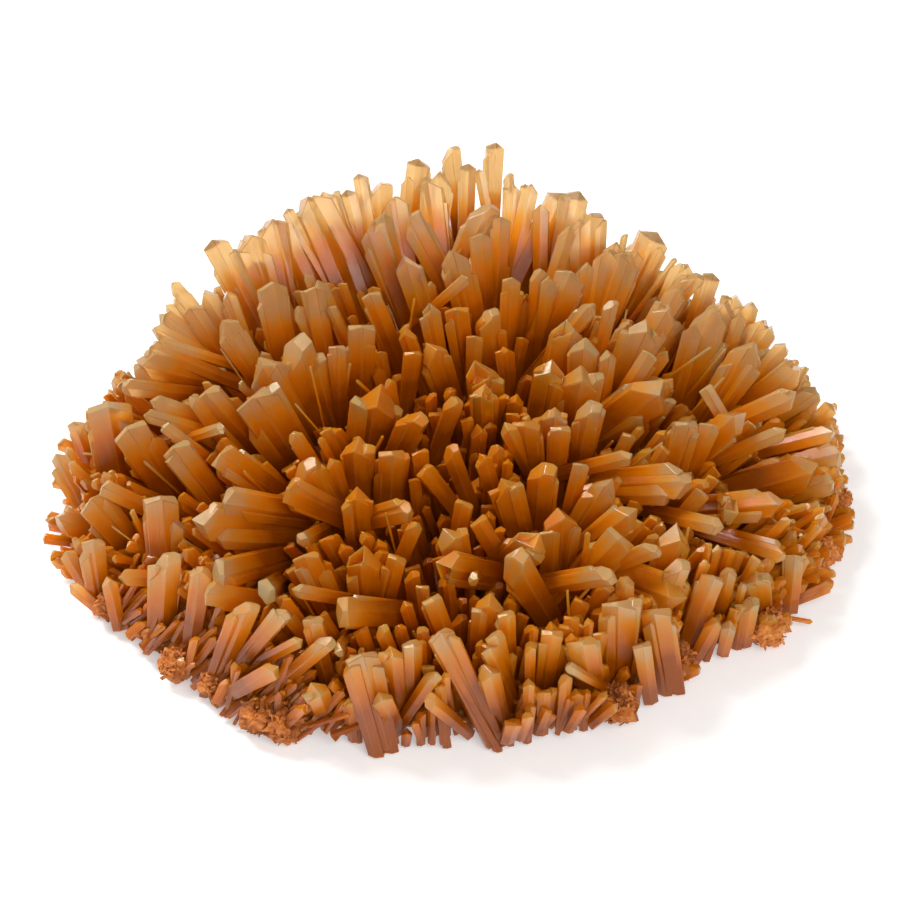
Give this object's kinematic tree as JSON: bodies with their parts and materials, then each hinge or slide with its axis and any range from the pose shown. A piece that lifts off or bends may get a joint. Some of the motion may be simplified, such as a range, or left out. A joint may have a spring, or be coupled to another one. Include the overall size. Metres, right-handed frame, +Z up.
{
  "type": "gypsum crystal cluster",
  "caption": "Natural cluster of honey-coloured gypsum crystals spraying up and outwards from a low crusted mass that is cut off flat underneath.",
  "frame": {"origin": "middle of the flat underside on which the cluster rests", "axes": "+Z up from the flat underside, -Y towards the front, where the lower crystals are, +X to the right as seen from the front"},
  "size_m": [0.3118, 0.3021, 0.0823],
  "materials": {
    "gypsum": "cloudy honey-coloured crystal with glassy facets"
  },
  "bodies": {
    "root": {"gypsum_cluster": "gypsum"}
  },
  "joints": []
}
